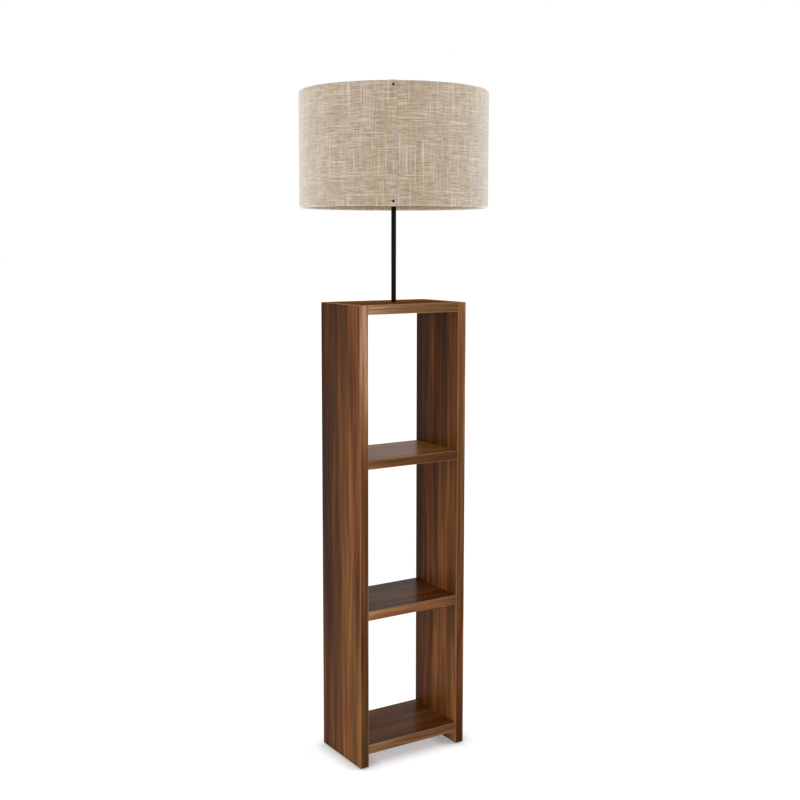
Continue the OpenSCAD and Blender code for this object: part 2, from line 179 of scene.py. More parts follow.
@dataclass(frozen=True)
class Finish:
    """A finish that can be turned into a material.

    Attributes:
        name: what the finish is and how it was made.
    """

    name: str

    def surface(self, tree: Tree) -> dict[str, object]:
        """Inputs of the Principled shader by name; each finish has its own."""
        raise NotImplementedError

    def coordinates(self, tree: Tree) -> Signal:
        """Position on the object, in metres."""
        return add_node(tree, "TexCoord").outputs["Object"]

    def stretched_noise(
        self,
        tree: Tree,
        where: Signal,
        size_mm: tuple[float, float, float],
        seed: float = 0.0,
        detail: float = 2.0,
    ) -> Signal:
        """Noise whose blotches have a given size along each axis.

        Args:
            tree: node tree to add to.
            where: coordinates in metres.
            size_mm: length of a blotch along X, Y and Z.
            seed: shifts the pattern, so that two layers differ.
            detail: octaves of finer noise.

        Returns:
            The noise's value, about 0.5 on average.
        """
        scale = tuple(1.0 / (s * MM) for s in size_mm)
        place = (seed * 7.3, seed * 3.1, seed * 5.7)
        mapped = add_node(tree, "Mapping", {"Vector": where, "Location": place, "Scale": scale})
        return add_node(tree, "TexNoise", {"Vector": mapped, "Scale": 1.0, "Detail": detail})

    def dashes(
        self,
        tree: Tree,
        where: Signal,
        size_mm: tuple[float, float, float],
        seed: float,
        bounds: tuple[float, float],
    ) -> Signal:
        """Stretched noise, cut off softly so that only its peaks are left.

        Args:
            tree: node tree to add to.
            where: coordinates in metres.
            size_mm: length of a dash along X, Y and Z.
            seed: shifts the pattern.
            bounds: noise values at which a dash begins and is full.

        Returns:
            0 between the dashes and 1 on them.
        """
        noise = self.stretched_noise(tree, where, size_mm, seed, 1.0)
        return add_node(
            tree,
            "MapRange",
            {"Value": noise, "From Min": bounds[0], "From Max": bounds[1]},
            interpolation_type="SMOOTHSTEP",
        )


@functools.cache
def material_of(finish: Finish) -> bpy.types.Material:
    """Builds a finish's material once and hands it out again after that.

    Args:
        finish: the finish to turn into a material.

    Returns:
        The material, named as the finish is.
    """
    material = bpy.data.materials.new(finish.name)
    tree = empty_tree(material)
    shader = add_node(tree, "BsdfPrincipled", finish.surface(tree))
    add_node(tree, "OutputMaterial", {"Surface": shader})
    return material


@dataclass(frozen=True)
class WalnutPrint(Finish):
    """Decor paper printed with straight-grained walnut, under satin melamine.

    The eye sees long soft streaks that drift and fade, some olive brown and
    some reddish, with finer lines and short dark pores in them, and a low sheen.

    Attributes:
        grain: axis that the streaks run along.
        seed: shifts the figure, so that no two boards are alike.
        olive: the print's cool browns, from the darkest streak to the palest.
        russet: the print's warm browns, in the same order.
        painted_light_slope: painted light and shade, as how much paler the figure is painted per
            metre along X, Y and Z.
        light_slope_centre_mm: point at which the painted light and shade leave the figure as it is.
        paleness: how much the whole figure is paler, in parts of the noise.
        pore: hex colour of the pores.
        pore_share: how strongly the pores are printed.
        pore_mm: depth of the pores pressed into the face.
        roughness: of the melamine face.
        gloss: specular level of the face; 0 leaves out the sheen.
    """

    grain: Grain = Grain.ALONG_Z
    seed: float = 0.0
    olive: tuple[str, ...] = ("#301b09", "#40260e", "#543516", "#69441f", "#855a30")
    russet: tuple[str, ...] = ("#341808", "#4a230b", "#623213", "#7b451e", "#9a6031")
    painted_light_slope: tuple[float, float, float] = (0.0, 0.0, 0.0)
    light_slope_centre_mm: tuple[float, float, float] = (0.0, 0.0, 0.0)
    paleness: float = 0.0
    pore: str = "#2a1b12"
    pore_share: float = 0.25
    pore_mm: float = 0.05
    roughness: float = 0.3
    gloss: float = 0.03

    def drawn_out(self, width: float, length: float) -> tuple[float, ...]:
        """Size of a streak along X, Y and Z: its length lies along the grain."""
        return tuple(length if axis == self.grain.value else width for axis in range(3))

    def streaks(
        self,
        tree: Tree,
        where: Signal,
        width: float,
        length: float,
        layer: float,
        detail: float = 1.0,
    ) -> Signal:
        """Noise drawn out along the grain.

        Args:
            tree: node tree to add to.
            where: coordinates in metres.
            width: width of a streak in mm.
            length: length of a streak in mm.
            layer: number that sets this layer apart from the others.
            detail: octaves of finer noise.

        Returns:
            The layer's value, about 0.5 on average.
        """
        size = self.drawn_out(width, length)
        return self.stretched_noise(tree, where, size, self.seed + layer, detail)

    def drifted(self, tree: Tree) -> Signal:
        """Moves the coordinates across the grain by up to 4 mm, so that streaks wander.

        Args:
            tree: node tree to add to.

        Returns:
            Coordinates in metres.
        """
        where = self.coordinates(tree)
        wander = self.streaks(tree, where, 70.0, 330.0, 6.61)
        sway = add_node(tree, "Math", {0: wander, 1: 0.5}, operation="SUBTRACT")
        across = self.drawn_out(20.0 * MM, 0.0)
        shift = add_node(tree, "VectorMath", {0: across, "Scale": sway}, operation="SCALE")
        return add_node(tree, "VectorMath", {0: where, 1: shift}, operation="ADD")

    def spread(self, tree: Tree, value: Signal, shift: float = 0.0) -> Signal:
        """Stretches drawn-out noise, raised by a shift, to the range from 0 to 1."""
        low, high = 0.5 - NOISE_REACH - shift, 0.5 + NOISE_REACH - shift
        return add_node(tree, "MapRange", {"Value": value, "From Min": low, "From Max": high})

    def tone(self, tree: Tree, where: Signal) -> Signal:
        """Adds up the painted light and shade slope and three widths of streak.

        Args:
            tree: node tree to add to.
            where: coordinates in metres.

        Returns:
            Paleness of the figure, from 0 to 1.
        """
        # Painted light and shade: the figure pales along painted_light_slope from its centre
        centre = tuple(-c * MM for c in self.light_slope_centre_mm)
        off = add_node(tree, "VectorMath", {0: where, 1: centre}, operation="ADD")
        tone = add_node(tree, "VectorMath", {0: off, 1: self.painted_light_slope}, operation="DOT_PRODUCT")
        # Width, length, layer, octaves and share of each kind of streak
        layers = (
            (36.0, 560.0, 0.13, 1.0, 0.42),
            (12.0, 330.0, 1.37, 2.0, 0.33),
            (4.2, 210.0, 2.71, 2.0, 0.25),
        )
        for *streak, share in layers:
            value = self.streaks(tree, where, *streak)
            tone = add_node(tree, "Math", {0: value, 1: share, 2: tone}, operation="MULTIPLY_ADD")
        return self.spread(tree, tone, self.paleness)

    def colour(self, tree: Tree, where: Signal) -> Signal:
        """Prints cool and warm browns by tone, and one or the other by streak.

        Args:
            tree: node tree to add to.
            where: coordinates in metres.

        Returns:
            Colour of the print without its pores.
        """
        tone = self.tone(tree, where)
        cool, warm = (
            add_node(
                tree,
                "ValToRGB",
                {"Fac": tone},
                tuple((i / (len(browns) - 1), brown) for i, brown in enumerate(browns)),
            )
            for browns in (self.olive, self.russet)
        )
        hue = self.spread(tree, self.streaks(tree, where, 17.0, 520.0, 4.43))
        return add_node(tree, "Mix", {"Factor": hue, "A": cool, "B": warm}, data_type="RGBA")

    def pores(self, tree: Tree, where: Signal) -> Signal:
        """Short dark lines; real ones are 0.2 mm wide, drawn at 1 mm to show."""
        return self.dashes(tree, where, self.drawn_out(1.0, 24.0), self.seed + 8.17, (0.58, 0.74))

    def surface(self, tree: Tree) -> dict[str, object]:
        """Prints colour and pores under a satin face with faint grain relief.

        Args:
            tree: node tree to add to.

        Returns:
            Inputs of the Principled shader by name.
        """
        where = self.drifted(tree)
        pores = self.pores(tree, where)
        ink = add_node(tree, "Math", {0: pores, 1: self.pore_share}, operation="MULTIPLY")
        colour = add_node(
            tree,
            "Mix",
            {"Factor": ink, "A": self.colour(tree, where), "B": linear(self.pore)},
            data_type="RGBA",
        )
        depth = self.pore_mm * MM
        bump = add_node(
            tree, "Bump", {"Height": pores, "Strength": 0.5, "Distance": depth}, invert=True
        )
        gloss = add_node(
            tree,
            "MapRange",
            {
                "Value": self.streaks(tree, where, 3.0, 90.0, 9.7),
                "To Min": self.roughness - 0.05,
                "To Max": self.roughness + 0.07,
            },
        )
        return {
            "Base Color": colour,
            "Roughness": gloss,
            "Normal": bump,
            "Specular IOR Level": self.gloss,
        }


@dataclass(frozen=True)
class EdgeBandPrint(WalnutPrint):
    """Thin ABS band printed with the boards' walnut, its arrises scraped round.

    The eye sees the board's grain a little paler, partly a paler run and partly painted
    light on the front edges, and a fine pale line along each arris: a painted highlight.

    Attributes:
        lines_at: heights or distances, in mm, at which a band's arrises lie.
        line_axis: 0 where the arrises are at a distance from the middle along
            X, and 2 where they are at heights.
        bare: hex colour of the painted highlight on each arris.
        arris_highlight_share: how much of that painted highlight shows.
        end_mm: height above which a band lies flat over the end of its board.
    """

    lines_at: tuple[float, ...] = ()
    line_axis: int = 0
    # bare is the colour of a painted highlight along each rounded arris
    bare: str = "#b18d6c"
    arris_highlight_share: float = 0.45
    end_mm: float = 1.0e4

    def coordinates(self, tree: Tree) -> Signal:
        """Turns the grain from Z to Y where a band lies over a board's end.

        Args:
            tree: node tree to add to.

        Returns:
            Coordinates in metres.
        """
        where = super().coordinates(tree)
        axes = add_node(tree, "SeparateXYZ", {0: where}).outputs
        along = add_node(tree, "Math", {0: axes["Y"], 1: axes["Z"]}, operation="ADD")
        turned = add_node(tree, "CombineXYZ", {0: axes["X"], 1: axes["Z"], 2: along})
        end = self.end_mm * MM
        over = add_node(tree, "Math", {0: axes["Z"], 1: end}, operation="GREATER_THAN")
        return add_node(
            tree, "Mix", {"Factor": over, "A": where, "B": turned}, data_type="VECTOR"
        )

    def arris(self, tree: Tree, where: Signal) -> Signal:
        """Lays a painted highlight along each arris: a real arris is 0.7 mm wide, drawn at 2 mm to
        show.

        Args:
            tree: node tree to add to.
            where: coordinates in metres.

        Returns:
            Share of the painted highlight, at each point.
        """
        place: Signal = add_node(tree, "SeparateXYZ", {0: where}).outputs[self.line_axis]
        if self.line_axis == 0:
            place = add_node(tree, "Math", {0: place}, operation="ABSOLUTE")
        nearest: Signal | float = 1.0
        for at in self.lines_at:
            away = add_node(tree, "Math", {0: place, 1: at * MM}, operation="SUBTRACT")
            away = add_node(tree, "Math", {0: away}, operation="ABSOLUTE")
            nearest = add_node(tree, "Math", {0: away, 1: nearest}, operation="MINIMUM")
        reach = {"From Min": 1.3 * MM, "From Max": 0.7 * MM, "To Max": self.arris_highlight_share}
        return add_node(
            tree, "MapRange", {"Value": nearest, **reach}, interpolation_type="SMOOTHSTEP"
        )

    def colour(self, tree: Tree, where: Signal) -> Signal:
        """Mixes a painted highlight into the print along each arris.

        Args:
            tree: node tree to add to.
            where: coordinates in metres.

        Returns:
            Colour of the band without its pores.
        """
        printed = super().colour(tree, where)
        share = self.arris(tree, self.coordinates(tree))
        # bare: the painted highlight's colour
        bare = linear(self.bare)
        return add_node(tree, "Mix", {"Factor": share, "A": printed, "B": bare}, data_type="RGBA")


@dataclass(frozen=True)
class SlubbedLinen(Finish):
    """Plain-woven linen with slubs in both thread directions.

    The eye sees pale and dark dashes along the weft, longer pale threads along
    the warp, soft patches that lean to olive or to rose, and a paler edge where
    the cloth turns away, from the fibres that stand out of the yarn.

    Attributes:
        sheet_mm: width and height of the sheet that the UV map covers.
        thread_mm: distance from one thread to the next.
    """

    sheet_mm: tuple[float, float] = (1205.3, 264.9)
    thread_mm: float = 0.65

    def weave(self, tree: Tree, where: Signal) -> Signal:
        """Plain weave, sin(a x) sin(a y), which repeats after two threads.

        Args:
            tree: node tree to add to.
            where: place on the sheet in metres.

        Returns:
            Height of the weave, from -1 to 1.
        """
        turn = math.pi / (self.thread_mm * MM)
        turns = add_node(tree, "VectorMath", {0: where, "Scale": turn}, operation="SCALE")
        axes = add_node(tree, "SeparateXYZ", {0: turns}).outputs
        across, up = (
            add_node(tree, "Math", {0: axes[axis]}, operation="SINE") for axis in ("X", "Y")
        )
        return add_node(tree, "Math", {0: across, 1: up}, operation="MULTIPLY")

    def surface(self, tree: Tree) -> dict[str, object]:
        """Lays slubs over the ground colour, with a woven relief and the fibres' sheen.

        Args:
            tree: node tree to add to.

        Returns:
            Inputs of the Principled shader by name.
        """
        uv = add_node(tree, "UVMap", uv_map="sheet")
        size = (self.sheet_mm[0] * MM, self.sheet_mm[1] * MM, 1.0)
        where = add_node(tree, "Mapping", {"Vector": uv, "Scale": size})
        patch = self.stretched_noise(tree, where, (26.0, 460.0, 1000.0), 0.7, 1.5)
        ground = ((0.42, "#b1a085"), (0.50, "#b6a38b"), (0.58, "#b9a594"))
        colour = add_node(tree, "ValToRGB", {"Fac": patch}, ground)
        # Size in mm, seed, bounds, colour and its share of each kind of slub
        layers = (
            ((20.0, 2.0, 1000.0), 1.9, (0.52, 0.60), "#8b7860", 0.58),
            ((56.0, 2.2, 1000.0), 3.3, (0.59, 0.66), "#ddd0b8", 0.56),
            ((2.0, 34.0, 1000.0), 5.1, (0.54, 0.62), "#938169", 0.42),
            ((2.3, 110.0, 1000.0), 7.9, (0.60, 0.66), "#dfd3bf", 0.5),
        )
        relief = self.weave(tree, where)
        for *kind, tint, share in layers:
            slub = self.dashes(tree, where, *kind)
            amount = add_node(tree, "Math", {0: slub, 1: share}, operation="MULTIPLY")
            colour = add_node(
                tree, "Mix", {"Factor": amount, "A": colour, "B": linear(tint)}, data_type="RGBA"
            )
            relief = add_node(
                tree, "Math", {0: slub, 1: 1.5, 2: relief}, operation="MULTIPLY_ADD"
            )
        bump = add_node(tree, "Bump", {"Height": relief, "Strength": 0.35, "Distance": 0.12 * MM})
        return {
            "Base Color": colour,
            "Roughness": 0.9,
            "Normal": bump,
            "Sheen Weight": 1.0,
            "Sheen Roughness": 0.5,
            "Sheen Tint": linear("#ffffff"),
            "Specular IOR Level": 0.25,
        }


@dataclass(frozen=True)
class Mottled(Finish):
    """Plain finish whose colour, gloss and relief vary a little, as made things do.

    Attributes:
        base: hex colour.
        worn: second hex colour, mixed in by a soft noise.
        roughness: middle roughness.
        spread: how far the roughness varies to each side.
        size_mm: size of the blotches along X, Y and Z.
        relief_mm: depth of the surface's texture.
        metallic: 1 for bare metal.
        values: further Principled inputs, as name and value.
    """

    base: str
    worn: str
    roughness: float
    spread: float
    size_mm: tuple[float, float, float]
    relief_mm: float
    metallic: float = 0.0
    values: tuple[tuple[str, object], ...] = ()

    def surface(self, tree: Tree) -> dict[str, object]:
        """Varies two close colours, roughness and relief by noise of one size.

        Args:
            tree: node tree to add to.

        Returns:
            Inputs of the Principled shader by name.
        """
        where = self.coordinates(tree)
        coarse = self.stretched_noise(tree, where, tuple(6.0 * s for s in self.size_mm), 1.3)
        fine = self.stretched_noise(tree, where, self.size_mm, 4.9, 3.0)
        base, worn = linear(self.base), linear(self.worn)
        colour = add_node(tree, "Mix", {"Factor": coarse, "A": base, "B": worn}, data_type="RGBA")
        low, high = self.roughness - self.spread, self.roughness + self.spread
        gloss = add_node(tree, "MapRange", {"Value": fine, "To Min": low, "To Max": high})
        depth = self.relief_mm * MM
        bump = add_node(tree, "Bump", {"Height": fine, "Strength": 0.4, "Distance": depth})
        return {
            "Base Color": colour,
            "Metallic": self.metallic,
            "Roughness": gloss,
            "Normal": bump,
            **dict(self.values),
        }


# Print of the edge bands: the same wood, painted paler, partly as a paler run and partly as painted
# light on the front edges that face the lamps
BAND_OLIVE = ("#3e2a19", "#523820", "#68482a", "#845f40", "#ad8b6e")
BAND_RUSSET = ("#412515", "#57311b", "#704225", "#8c5b3b", "#b3896a")
# Painted light and shade on the side panels: from this point the figure is painted darker towards
# the back edge and paler towards the front edge and the feet
SIDE_LIGHT_CENTRE = (0.0, 0.0, 500.0)
BOARDS = {
    "left_side_panel": WalnutPrint(
        "walnut_print_left",
        Grain.ALONG_Z,
        7.25,
        painted_light_slope=(0.0, -1.4, -0.1),
        light_slope_centre_mm=SIDE_LIGHT_CENTRE,
        paleness=-0.042,
    ),
    "right_side_panel": WalnutPrint(
        "walnut_print_right",
        Grain.ALONG_Z,
        8.78,
        painted_light_slope=(0.0, -1.5, -0.14),
        light_slope_centre_mm=SIDE_LIGHT_CENTRE,
        paleness=-0.015,
    ),
    "top_panel": WalnutPrint("walnut_print_top", Grain.ALONG_X, 1.7, paleness=0.06, gloss=0.0),
    "upper_shelf": WalnutPrint("walnut_print_upper", Grain.ALONG_X, 5.2, paleness=0.18),
    "lower_shelf": WalnutPrint("walnut_print_lower", Grain.ALONG_X, 7.5),
    "bottom_shelf": WalnutPrint("walnut_print_bottom", Grain.ALONG_X, 9.1, paleness=0.03),
}

# Bare beech, turned and fluted: pale, with short flecks and no gloss
BEECH = Mottled("beech_turned", "#c9a473", "#b98f5e", 0.7, 0.1, (8.0, 1.2, 1.2), 0.05)
# Steel with bright zinc plate: cool grey metal with a faint cloudy spangle
ZINC = Mottled("steel_zinc_plated", "#b9bcbe", "#9fa3a6", 0.32, 0.1, (1.5, 1.5, 1.5), 0.01, 1.0)
# Moulded phenolic: black with a slight orange-peel gloss
PHENOLIC = Mottled("phenolic_moulded", "#161617", "#1f1f20", 0.38, 0.06, (1.2, 1.2, 1.2), 0.02)
# Polyethylene glide and bush: softer black, more matt
GLIDE_PLASTIC = Mottled(
    "polyethylene_moulded", "#1d1d1e", "#29292a", 0.55, 0.08, (1.0, 1.0, 1.0), 0.03
)
# Steel tube under black satin lacquer, sprayed: fine orange peel, soft highlight
LACQUER = Mottled(
    "steel_black_lacquered",
    "#050506",
    "#080809",
    0.3,
    0.05,
    (1.2, 1.2, 1.8),
    0.012,
    0.0,
    (("Specular IOR Level", 0.07),),
)
# Unglazed porcelain of the contact carrier: chalky white
PORCELAIN = Mottled("porcelain_unglazed", "#e8e4da", "#ddd8cb", 0.6, 0.1, (1.0, 1.0, 1.0), 0.03)
# Aluminium screw shell, rolled: bright, with a trace of the roller
ROLLED = Mottled("aluminium_rolled", "#c9cbcc", "#b4b6b8", 0.26, 0.08, (6.0, 6.0, 0.5), 0.008, 1.0)
# Brass contacts and terminals: yellow metal, a little dulled
BRASS = Mottled("brass_stamped", "#c3a35a", "#a98943", 0.3, 0.1, (1.0, 1.0, 1.0), 0.01, 1.0)
# Styrene sheet that stiffens the shade: warm ivory, smooth from the rollers
STYRENE = Mottled("styrene_calendered", "#e2d9c6", "#d9ceb8", 0.5, 0.06, (3.0, 3.0, 3.0), 0.02)
# Steel wire with white epoxy powder: even, with a faint orange peel
POWDER_WHITE = Mottled(
    "steel_powder_coated", "#eeece5", "#e4e1d8", 0.42, 0.06, (0.8, 0.8, 0.8), 0.03
)
# Blackened steel stud: near black, with a soft metallic gleam
BLACKENED = Mottled("steel_blackened", "#141414", "#1e1e1e", 0.35, 0.08, (0.7, 0.7, 0.7), 0.01, 0.6)
# Opal glass, blown: white through and through, under a glossy skin
OPAL = Mottled(
    "opal_glass_blown",
    "#f3f0e7",
    "#ece8dd",
    0.16,
    0.04,
    (9.0, 9.0, 9.0),
    0.02,
    0.0,
    (
        ("Subsurface Weight", 0.4),
        ("Subsurface Radius", (1.0, 0.95, 0.9)),
        ("Subsurface Scale", 0.006),
        ("Coat Weight", 0.3),
    ),
)
# Black glass insulator of the bulb's cap
VITRITE = Mottled("vitrite_pressed", "#101014", "#17171c", 0.14, 0.04, (1.0, 1.0, 1.0), 0.01)
# Clear pressed glass of the stem inside the bulb
STEM_GLASS = Mottled(
    "glass_pressed",
    "#e4ebe9",
    "#dbe4e2",
    0.06,
    0.03,
    (2.0, 2.0, 2.0),
    0.01,
    0.0,
    (("Transmission Weight", 0.9),),
)
# Yellow silicone coat on the light-emitting rods
PHOSPHOR = Mottled(
    "silicone_phosphor_coated", "#e2c14c", "#d3b03c", 0.4, 0.06, (0.6, 0.6, 0.6), 0.02
)
LINEN = SlubbedLinen("linen_slubbed_woven")


# --- Surfaces ---------------------------------------------------------------


def make_object(
    name: str, points: np.ndarray, faces: np.ndarray, uv: np.ndarray | None = None
) -> bpy.types.Object:
    """Makes a mesh object at the origin from points and four-cornered faces.

    Coincident points are merged, so that seams and poles are closed, and the
    faces are turned outwards by the sign of the enclosed volume.

    Args:
        name: name of the object and its mesh.
        points: one row of X, Y and Z per point, in metres.
        faces: one row of four point numbers per face.
        uv: one row of U and V per point, for the map named "sheet".

    Returns:
        The object, linked into the scene.
    """
    corners = points[faces]
    first, second, third, fourth = (corners[:, i] for i in range(4))
    volume = np.einsum("ij,ij->", first, np.cross(second, third))
    volume += np.einsum("ij,ij->", first, np.cross(third, fourth))
    if volume < 0:
        faces = faces[:, ::-1]
    mesh = bpy.data.meshes.new(name)
    mesh.from_pydata(points.tolist(), [], faces.tolist())
    if uv is not None:
        layer = mesh.uv_layers.new(name="sheet")
        corner_points = np.empty(len(mesh.loops), np.int32)
        mesh.loops.foreach_get("vertex_index", corner_points)
        layer.data.foreach_set("uv", uv[corner_points].astype(np.float32).ravel())
    work = bmesh.new()
    work.from_mesh(mesh)
    bmesh.ops.remove_doubles(work, verts=work.verts, dist=1e-7)
    work.to_mesh(mesh)
    work.free()
    mesh.shade_smooth()
    mesh.set_sharp_from_angle(angle=math.radians(CRISP_DEG))
    made = bpy.data.objects.new(name, mesh)
    bpy.context.scene.collection.objects.link(made)
    return made


def grid_faces(rows: int, columns: int, closed: bool) -> np.ndarray:
    """Four-cornered faces of a grid of points numbered row by row.

    Args:
        rows: number of rows of points.
        columns: number of points in a row.
        closed: whether the last row and column are joined to the first.

    Returns:
        One row of four point numbers per face.
    """
    last = 0 if closed else 1
    i, j = np.meshgrid(np.arange(rows - last), np.arange(columns - last), indexing="ij")
    down, right = (i + 1) % rows, (j + 1) % columns
    corners = (i * columns + j, down * columns + j, down * columns + right, i * columns + right)
    return np.stack([c.ravel() for c in corners], axis=1)


def revolved(radius: np.ndarray, height: np.ndarray, angle: np.ndarray) -> np.ndarray:
    """Points round the lamp's axis: x = r cos a, y = r sin a, z = h.

    Args:
        radius: in mm, one row per profile point and one column per angle.
        height: in mm, in the same shape.
        angle: in radians, one per column.

    Returns:
        Points in metres, one row each.
    """
    points = np.stack([radius * np.cos(angle), radius * np.sin(angle), height], axis=-1)
    return points.reshape(-1, 3) * MM


def helix_wave(height: np.ndarray, angle: np.ndarray, pitch: float) -> np.ndarray:
    """Rolled thread from -1 at its roots to 1 at its crests: cos(2 pi h / pitch - a)."""
    return np.cos(2 * math.pi * height / pitch - angle)


@dataclass
class ThreadedShell:
    """A turned or rolled piece round the lamp's axis, with one threaded stretch.

    Attributes:
        name: name of the piece.
        outline: closed profile as (radius, height, thread share) in mm, where
            the share says how far the thread's wave moves that point.
        pitch: thread pitch in mm.
        depth: half the thread's depth in mm.
        steps: points round the axis.
        spacing: longest step along the profile in mm.
    """

    name: str
    outline: list[tuple[float, float, float]]
    pitch: float
    depth: float
    steps: int = 96
    spacing: float = 0.3

    def profile(self) -> np.ndarray:
        """Divides the outline where it is threaded, no coarser than the spacing.

        Returns:
            Radius, height and thread share, with one row per point.
        """
        rows = []
        for start, end in zip(self.outline, self.outline[1:] + self.outline[:1]):
            span = math.dist(start[:2], end[:2])
            threaded = max(start[2], end[2]) > 0
            count = max(1, math.ceil(span / self.spacing)) if threaded else 1
            share = np.linspace(0.0, 1.0, count, endpoint=False)[:, None]
            rows.append(np.array(start) + share * (np.array(end) - np.array(start)))
        return np.concatenate(rows)

    def build(self) -> bpy.types.Object:
        """Carries the profile round the axis and moves it in and out by the wave.

        Returns:
            The shell as a mesh object.
        """
        profile = self.profile()
        angle = np.linspace(0.0, 2 * math.pi, self.steps, endpoint=False)
        height = np.repeat(profile[:, 1:2], self.steps, axis=1)
        wave = helix_wave(height, angle, self.pitch)
        radius = profile[:, 0:1] + self.depth * profile[:, 2:3] * wave
        faces = grid_faces(len(profile), self.steps, closed=True)
        return make_object(self.name, revolved(radius, height, angle), faces)


# --- Sub-assemblies ---------------------------------------------------------


@dataclass
class SubAssembly:
    """A group of parts that belong together.

    Attributes:
        nodes: the frame's objects by name.
        dressed: names of the pieces that have their finish.
    """

    nodes: dict[str, bpy.types.Object]
    dressed: list[str] = field(default_factory=list)

    def dress(self, piece: bpy.types.Object, finish: Finish) -> None:
        """Gives a piece one finish in all its material slots.

        Args:
            piece: one of the frame's objects or a new one.
            finish: its finish.
        """
        material = material_of(finish)
        if not piece.data.materials:
            piece.data.materials.append(material)
        for slot in piece.material_slots:
            slot.material = material
        self.dressed.append(piece.name)
        LOG.info("%s: %s", piece.name, finish.name)

    def dress_nodes(self, finish: Finish, *names: str) -> None:
        """Gives several of the frame's nodes the same finish."""
        for name in names:
            self.dress(self.nodes[name], finish)

    def add_piece(
        self, piece: bpy.types.Object, finish: Finish, body: Body, slot: str, replaced: str
    ) -> None:
        """Dresses a new piece and ties it to the frame.

        Args:
            piece: the new object.
            finish: its finish.
            body: the body that it moves with.
            slot: the record's material slot; not used.
            replaced: the frame's node that it stands for.
        """
        self.dress(piece, finish)
        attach(piece, body.value)
        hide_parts(replaced)

    def dress_all(self) -> None:
        """Dresses every piece of the group; each group has its own."""
        raise NotImplementedError


@dataclass
class ShelfUnit(SubAssembly):
    """Boards, edge bands, fittings and feet of the shelf unit.

    Attributes:
        board_mm: thickness of every board.
        band_mm: thickness of the edge bands.
    """

    board_mm: float = 19.0
    band_mm: float = 1.0

    def side_lines(self) -> tuple[float, float]:
        """Distances from the middle at which the side bands' arrises lie."""
        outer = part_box("right_side_panel")[1].x / MM
        return outer - self.board_mm, outer

    def shelf_lines(self) -> tuple[float, ...]:
        """Heights at which the shelf bands' arrises lie."""
        names = ("top_panel", "upper_shelf", "lower_shelf", "bottom_shelf")
        return tuple(z / MM for n in names for z in (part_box(n)[0].z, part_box(n)[1].z))

    def dress_bands(self) -> None:
        """The bands' print follows their boards, with painted highlights on the arrises."""
        upright = EdgeBandPrint(
            "walnut_band_upright",
            Grain.ALONG_Z,
            10.82,
            BAND_OLIVE,
            BAND_RUSSET,
            # Painted light and shade: the upright bands are painted paler upwards and darker
            # towards the feet
            painted_light_slope=(-0.02, 0.0, 0.28),
            light_slope_centre_mm=(0.0, 0.0, 470.0),
            paleness=-0.03,
            gloss=0.0,
            lines_at=self.side_lines(),
            end_mm=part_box("side_edge_bands")[1].z / MM - self.band_mm,
        )
        level = EdgeBandPrint(
            "walnut_band_level",
            Grain.ALONG_X,
            16.6,
            BAND_OLIVE,
            BAND_RUSSET,
            # Painted light: the shelf bands are painted paler to the left, where more light falls,
            # and paler upwards
            painted_light_slope=(-0.6, 0.0, 0.1),
            light_slope_centre_mm=(0.0, 0.0, 470.0),
            paleness=0.01,
            lines_at=self.shelf_lines(),
            line_axis=2,
        )
        self.dress_nodes(upright, "side_edge_bands")
        self.dress_nodes(level, "shelf_edge_bands")

    def dress_all(self) -> None:
        """Gives each board its own run of the print, and dresses the rest."""
        for name, finish in BOARDS.items():
            self.dress_nodes(finish, name)
        self.dress_bands()
        self.dress_nodes(BEECH, "dowels")
        self.dress_nodes(ZINC, "cam_bolts", "cam_locks")
        self.dress_nodes(GLIDE_PLASTIC, "floor_glides")


@dataclass
class TubeMast(SubAssembly):
    """The lamp tube and what holds it under the top panel."""

    def dress_all(self) -> None:
        """Lacquered tube, zinc-plated fixing and the plastic bush."""
        self.dress_nodes(LACQUER, "lamp_tube")
        self.dress_nodes(ZINC, "tube_plate", "plate_screws", "tube_nut")
        self.dress_nodes(GLIDE_PLASTIC, "cord_bush")


